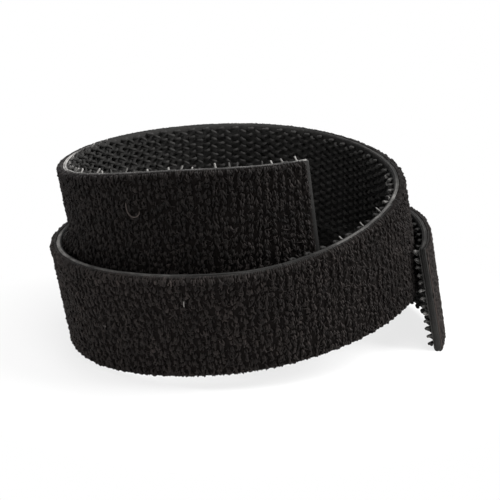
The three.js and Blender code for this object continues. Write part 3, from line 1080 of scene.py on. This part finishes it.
def edge_field():
    """Loops side by side along both edges. Each goes round a quarter of an ellipse, from the ribbon's edge
    beside the glue line to the face of the pile."""
    rng = np.random.default_rng(32)
    columns = np.arange(EDGE_FIRST_MARGIN, TAPE_LENGTH - LOOP_LAST_MARGIN, EDGE_LOOP_PITCH)
    run, side = (grid.ravel() for grid in np.meshgrid(columns, [-1, 1], indexing="ij"))
    kept = rng.uniform(0, 1, run.size) < EDGE_LOOP_KEPT
    run, side = run[kept], side[kept]
    count = run.size
    run = run + rng.normal(0, EDGE_LOOP_SHIFT, count)
    t = np.linspace(0, 1, ARCH_STEPS)[None]
    reach = rng.uniform(*EDGE_LOOP_IN, count)[:, None]
    rise = EDGE_LOOP_OUT * rng.uniform(*EDGE_OUT_VARIES, count) * pressed(run)
    runs = run[:, None] + rng.normal(0, EDGE_LOOP_SKEW, count)[:, None] * t
    heights = side[:, None] * (HALF_WIDTH - reach * (1 - np.cos(np.pi / 2 * t)))
    outs = EDGE_LOOP_FOOT + rise[:, None] * np.sin(np.pi / 2 * t) + drawn_out(runs, heights) * t
    # The outer turn is painted paler, as painted light, and the inner turn darker, as painted shade.
    shade = EDGE_LOOP_SHADE + EDGE_LOOP_PAINTED_LIGHT * outer_turn_painted_light(run)
    shade = np.clip(shade + rng.normal(0, EDGE_SHADE_VARIES, count), *PILE_SHADES)
    radius = rng.uniform(*LOOP_RADII, count)
    return run, side * HALF_WIDTH, (runs, heights, outs), radius, shade


place_field("pile_edges", edge_field(), ARCH_SIDES, PILE_LOOPS)

# %% [markdown]
# Over all of them lie thinner wisps, in all directions, that the brushing has pulled out. They are the same
# arches, but thin, turned anyhow and a little paler, and they hide the rows below.

# %% Wisps
WISP_COUNT = 5000
WISP_RADII = (0.04, 0.075)
WISP_REACH = (0.25, 0.55)
WISP_RISE = (0.35, 0.6)
WISP_TURN = 0.9  # radians
WISP_LEAN = 0.15
WISP_FIRST_MARGIN = PILE_END_MARGIN[0] + 0.3
WISP_LAST_MARGIN = 0.4
WISP_HALF = HALF_WIDTH - 0.7
WISP_SHADE = 0.36
WISP_SHADE_VARIES = 0.12
WISP_PAINTED_LIGHT = 0.2
WISP_SHADES = (0.1, 0.85)


def wisp_field():
    """Thin loops anywhere on the pile, in all directions."""
    rng = np.random.default_rng(37)
    run = rng.uniform(WISP_FIRST_MARGIN, TAPE_LENGTH - WISP_LAST_MARGIN, WISP_COUNT)
    height = rng.uniform(-WISP_HALF, WISP_HALF, WISP_COUNT)
    reach = rng.uniform(*WISP_REACH, WISP_COUNT)
    rise = rng.uniform(*WISP_RISE, WISP_COUNT) * pressed(run)
    turn = rng.normal(0, WISP_TURN, WISP_COUNT)
    lean = rng.normal(0, WISP_LEAN, WISP_COUNT)
    # The outer turn is painted paler, as painted light, and the inner turn darker, as painted shade.
    shade = rng.normal(WISP_SHADE, WISP_SHADE_VARIES, WISP_COUNT) + WISP_PAINTED_LIGHT * outer_turn_painted_light(run)
    shade = np.clip(shade, *WISP_SHADES)
    radius = rng.uniform(*WISP_RADII, WISP_COUNT)
    return run, height, lay_arches(run, height, reach, rise, turn, lean), radius, shade


place_field("pile_wisps", wisp_field(), ARCH_SIDES, PILE_LOOPS)

# %% [markdown]
# A few stray fibres cling to the pile: one long fibre that has curled up near the inner end, and two short
# pale ones on the outer turn. They are small, but they are what shows that this is a soft, used tape. Each is
# a strand like the loops, on a path of its own that lies just over the pile.

# %% Stray fibres
STRAY_OUT = PILE_FACE + 0.05
STRAY_SIDES = 5
CURL_ARC = 58.0
CURL_HEIGHT = 3.85
CURL_FIRST_ANGLE = 130
CURL_SWEEP = 220
CURL_RADIUS = 1.1
CURL_WIDENING = 0.75
CURL_WIDENING_POWER = 8
CURL_LIFT = 0.12
CURL_STEPS = 16
CURL_FIBRE_RADIUS = 0.12
CURL_SHADE = 0.84
LINT = np.array([
    # arc, height, half length, turn, radius, shade
    (399.0, 5.5, 0.55, 97.0, 0.1, 0.905),
    (429.0, -0.5, 0.3, 20.0, 0.08, 0.87),
])
LINT_BOW = 0.04
LINT_LIFT = 0.05
LINT_STEPS = 6


def curl_field():
    """One fibre on a good half of a circle. Its first part is nearly straight: there the radius is larger, by
    the eighth power of the way that is left. Its middle stands off the pile by the sine of half a turn."""
    t = np.linspace(0, 1, CURL_STEPS)
    angle = np.radians(CURL_FIRST_ANGLE + CURL_SWEEP * t)
    radius = CURL_RADIUS + CURL_WIDENING * (1 - t) ** CURL_WIDENING_POWER
    run, height = run_at(np.array([CURL_ARC])), np.array([CURL_HEIGHT])
    runs = run[:, None] - radius * np.cos(angle)
    heights = height[:, None] + radius * np.sin(angle)
    outs = STRAY_OUT + CURL_LIFT * np.sin(np.pi * t)[None]
    return run, height, (runs, heights, outs), np.array([CURL_FIBRE_RADIUS]), np.array([CURL_SHADE])


def lint_field():
    """Short fibres, each from minus to plus its half length in the direction of its turn. It bows along the
    tape and off the pile by one minus the square of the way from its middle."""
    arc, height, half, turn, radius, shade = LINT.T
    run, turn = run_at(arc), np.radians(turn)
    t = np.linspace(-1, 1, LINT_STEPS)
    bow = 1 - t * t
    runs = run[:, None] + half[:, None] * t * np.cos(turn)[:, None] + LINT_BOW * bow
    heights = height[:, None] + half[:, None] * t * np.sin(turn)[:, None]
    outs = STRAY_OUT + LINT_LIFT * bow + 0 * runs
    return run, height, (runs, heights, outs), radius, shade


place_field("stray_curl", curl_field(), STRAY_SIDES, PILE_LOOPS)
place_field("stray_lint", lint_field(), STRAY_SIDES, PILE_LOOPS)

# %% [markdown]
# The hooks stand on a bed of tight weave, with a rib under each row. The bed is another sheet, ribbed by a
# cosine across the width and broken up along it where each hook's wire goes in. A little grey is mixed into
# it everywhere except on the right wall of the bore, which is painted darker as painted shade.

# %% Bed under the hooks
HOOK_ROWS = 13
HOOK_ROW_PITCH = 1.5
HOOK_ALONG_PITCH = 1.5
BED_STEP = 0.3
BED_RIB = 0.08
KNOT_SHARE = 0.4
BED_HILL_SIZE = 0.5
BED_HILL_DEPTH = 0.04
BED_EDGE_MARGIN = 0.08
BED_END_MARGIN = (0.15, 0.15)
BED_EDGE_ROUND = 0.3
BED_EDGE_LEFT = 0.4
BED_HALF = HALF_WIDTH - BED_EDGE_MARGIN
BED_SHADE = 0.27
BED_END_PALE = 2 * OUTER_END_PALE
# Painted shade: the stretch of the right wall of the bore, where the hook side is painted darker.
PAINTED_SHADE_ARCS = (225.0, 260.0, 345.0, 372.0)


def wall_painted_shade(runs):
    """One on the right wall of the bore, where the hook side is painted darker as painted shade, and zero
    elsewhere.
    """
    return np.interp(arc_at(runs), PAINTED_SHADE_ARCS, (0, 1, 1, 0))


def bed_relief(runs, heights):
    """Ribs one hook row apart, each knotted once for every hook, plus random hills."""
    rows = np.cos(2 * np.pi * heights / HOOK_ROW_PITCH)
    knots = np.cos(2 * np.pi * runs / HOOK_ALONG_PITCH)
    ribs = (1 - KNOT_SHARE) * rows + KNOT_SHARE * rows * knots
    return BED_RIB * ribs + BED_HILL_DEPTH * hills(runs, heights, BED_HILL_SIZE, seed=41)


bed_heights = np.linspace(-BED_HALF, BED_HALF, int(2 * BED_HALF / BED_STEP) + 1)
for stretch in stretches:
    runs, heights = grid_of(stretch, BED_STEP, bed_heights, BED_END_MARGIN)
    from_edge = np.clip((BED_HALF - np.abs(heights)) / BED_EDGE_ROUND, 0, 1)
    thinned = BED_EDGE_LEFT + (1 - BED_EDGE_LEFT) * from_edge
    depth = HOOK_BED_THICKNESS * thinned + bed_relief(runs, heights) * from_edge
    # The right wall of the bore gets no grey, as painted shade.
    shade = BED_SHADE * (1 - wall_painted_shade(runs))
    shade = np.where(runs > TAPE_LENGTH - BED_END_PALE, 1.0, shade)
    pieces[stretch["name"]]["hook_bed"] = make_sheet(
        f"{stretch['name']}_hook_bed", runs, heights,
        HOOK_BACK + 0 * depth, HOOK_BACK - depth, HOOK_BED_CLOTH, shade)
print("hook beds:", sum(count for name, count in triangle_counts.items() if "bed" in name), "triangles")

# %% [markdown]
# A hook is a nylon wire woven in as a closed loop and then cut near one foot, so it stands up, curls over
# and ends in the air. Its side view is a short list of points, and one function turns that list about the
# middle of each hook, for all hooks at once.

# %% Shape of a hook
HOOK_STEM = np.array([
    # forward, rise
    (0.0, -0.12), (0.0, 0.36), (0.08, 0.64), (0.3, 0.86), (0.6, 0.88), (0.84, 0.7), (0.92, 0.46),
])
HOOK_MIDDLE = 0.46
HOOK_RADIUS = 0.3
HOOK_SIDES = 5


def lay_hooks(run, height, direction, size):
    """The stem's side view, as forward and rise in millimetres at size 1, turned about its middle."""
    forward = HOOK_STEM[:, 0][None] * size[:, None]
    rise = HOOK_STEM[:, 1][None] * size[:, None]
    runs = run[:, None] + (forward - HOOK_MIDDLE) * np.cos(direction)[:, None]
    heights = height[:, None] + (forward - HOOK_MIDDLE) * np.sin(direction)[:, None]
    return runs, heights, HOOK_BED - rise


print("height of a hook's middle line:", HOOK_STEM[:, 1].max(), "mm")

# %% [markdown]
# Neighbours along a row stand a little above and below it and slant to opposite sides, which makes the
# zigzag lines that the photograph shows inside the roll. On part of the outer turn the top row is slit off.
# The last hooks before the outer cut are painted pale, as painted light, and the top two rows on the right
# wall of the bore are painted paler, as painted highlight.

# %% Field of hooks
HOOK_SLANT = 18.0
HOOK_STAGGER = 0.37
HOOK_END_MARGIN = 0.6
HOOK_FIRST_MARGIN = 1
HOOK_SHIFT_ALONG = 0.06
HOOK_SHIFT_ACROSS = 0.05
HOOK_TURN_VARIES = 0.14  # radians
HOOK_SIZE_VARIES = 0.06
HOOK_SHADE = 0.33
HOOK_SHADE_VARIES = 0.08
HOOK_SHADES = (0.0, 0.55)
WALL_PAINTED_SHADE = 0.08
SLIT_OFF_ARCS = (372.0, 500.0)
END_PAINTED_LIGHT_REACH = 2.5
END_HOOK_PAINTED_LIGHT = 0.35
PAINTED_HIGHLIGHT_ARCS = (284.0, 318.0)
PAINTED_HIGHLIGHT_ROWS = 2
PAINTED_HIGHLIGHT_SHADES = (0.4, 0.8)


def between(arcs, span):
    """True past the first arc of a span and short of its last."""
    return (arcs > span[0]) & (arcs < span[1])


def hook_places(rng):
    """Rows across by columns along, counted from the outer end and from the top row down. Every other column
    stands above its rows by the stagger and the rest below, and the side says which."""
    columns = np.arange(int((TAPE_LENGTH - HOOK_FIRST_MARGIN) / HOOK_ALONG_PITCH))
    column, row = np.meshgrid(columns, np.arange(HOOK_ROWS), indexing="ij")
    slit_off = (row == 0) & between(arc_at(TAPE_LENGTH - HOOK_ALONG_PITCH * column), SLIT_OFF_ARCS)
    column, row = column[~slit_off], row[~slit_off]
    side = np.where(column % 2 == 0, 1, -1)
    top_row = HOOK_ROW_PITCH * (HOOK_ROWS - 1) / 2
    run = TAPE_LENGTH - HOOK_END_MARGIN - HOOK_ALONG_PITCH * column
    run = run + rng.normal(0, HOOK_SHIFT_ALONG, run.size)
    height = top_row - HOOK_ROW_PITCH * row + side * HOOK_STAGGER
    height = height + rng.normal(0, HOOK_SHIFT_ACROSS, run.size)
    return run, height, row, side


def hook_field():
    """Each hook is turned by the slant to its side. Its shade is a random amount, less on the right wall of
    the bore as painted shade, more near the outer cut as painted light, and another random amount on the top
    rows at the right of the bore as painted highlight."""
    rng = np.random.default_rng(43)
    run, height, row, side = hook_places(rng)
    count = run.size
    direction = side * np.radians(HOOK_SLANT) + rng.normal(0, HOOK_TURN_VARIES, count)
    size = rng.normal(1.0, HOOK_SIZE_VARIES, count)
    # Hooks on the right wall of the bore are painted darker, as painted shade.
    shade = rng.normal(HOOK_SHADE, HOOK_SHADE_VARIES, count) - WALL_PAINTED_SHADE * wall_painted_shade(run)
    shade = np.clip(shade, *HOOK_SHADES)
    # Hooks near the outer cut are painted paler, as painted light.
    shade = np.where(run > TAPE_LENGTH - END_PAINTED_LIGHT_REACH, shade + END_HOOK_PAINTED_LIGHT, shade)
    # The top rows at the right of the bore are painted paler, as painted highlight.
    highlighted = (row < PAINTED_HIGHLIGHT_ROWS) & between(arc_at(run), PAINTED_HIGHLIGHT_ARCS)
    shade = np.where(highlighted, rng.uniform(*PAINTED_HIGHLIGHT_SHADES, count), shade)
    radius = np.full(count, HOOK_RADIUS)
    return run, height, lay_hooks(run, height, direction, size), radius, shade


place_field("hooks", hook_field(), HOOK_SIDES, HOOK_WIRE)

# %% [markdown]
# Where the tape was slit, the blade wandered. On two stretches of the upper edge it ran through a row of
# hooks and left stubs that stick up past the edge. They are painted pale, partly for the cut and partly as
# painted highlight, and show as small ticks along the top line. A list of points gives their side view, as it
# does for the hooks.

# %% Cut hooks along the upper edge
STUB_SPANS = [
    # first arc, last arc, spacing
    (2.0, 150.0, 2.5), (316.0, 356.0, 5.5),
]
STUB_STEM = np.array([
    # rise from the bed, distance past the edge
    (0.0, -0.4), (0.2, -0.15), (0.45, 0.12), (0.62, 0.32), (0.66, 0.44),
])
STUB_RADII = (0.12, 0.19)
STUB_SHIFT = 1.0
STUB_SIZES = (0.4, 1.2)
STUB_SIDEWAYS = 0.5
STUB_SHADES = (0.55, 0.88)


def stub_field():
    """Stubs at uneven steps. Each leaves the bed just inside the edge and bends up past it, and sideways by
    its own share of the distance from there."""
    rng = np.random.default_rng(47)
    run = np.concatenate([np.arange(run_at(first), run_at(last), gap) for first, last, gap in STUB_SPANS])
    count = run.size
    run = run + rng.uniform(-STUB_SHIFT, STUB_SHIFT, count)
    size = rng.uniform(*STUB_SIZES, count)
    sideways = rng.normal(0, STUB_SIDEWAYS, count)
    rise = STUB_STEM[:, 0] * size[:, None]
    past = STUB_STEM[:, 1] * size[:, None]
    runs = run[:, None] + sideways[:, None] * (past - STUB_STEM[0, 1])
    # Pale shades: partly the cut, partly painted highlight.
    shade = rng.uniform(*STUB_SHADES, count)
    radius = rng.uniform(*STUB_RADII, count)
    return run, np.full(count, HALF_WIDTH), (runs, HALF_WIDTH + past, HOOK_BED - rise), radius, shade


place_field("edge_stubs", stub_field(), HOOK_SIDES, HOOK_WIRE)

# %% [markdown]
# Each piece is now handed to the frame. In a rigid stretch it rides on the winding, and in a bending stretch
# its placing is baked into its points. The pieces that have a solid in the model stand for it, and that
# solid is hidden.

# %% Hand the pieces to the frame
STANDS_FOR = {
    "loop_backing": "loop_ground", "hook_backing": "hook_ground", "glue_line": "bond_film",
    "pile_mat": "loop_pile", "hook_bed": "hook_rows",
}


def hand_over(stretch, layer, piece):
    """Ride on the one body; with two bodies, bake the piece's placing into its points. Hide the solid it
    stands for.
    """
    if len(stretch["bodies"]) == 1:
        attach(piece, stretch["bodies"][0])
    else:
        start, end = wind(np.array(stretch["blend"]), 0.0, 0.0)
        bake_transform(piece)
    if layer in STANDS_FOR:
        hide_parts(f"{stretch['stands_for']}_{STANDS_FOR[layer]}")


for stretch in stretches:
    made = pieces[stretch["name"]]
    for layer, piece in made.items():
        hand_over(stretch, layer, piece)
print("pieces:", sum(len(made) for made in pieces.values()), "triangles:", sum(triangle_counts.values()))
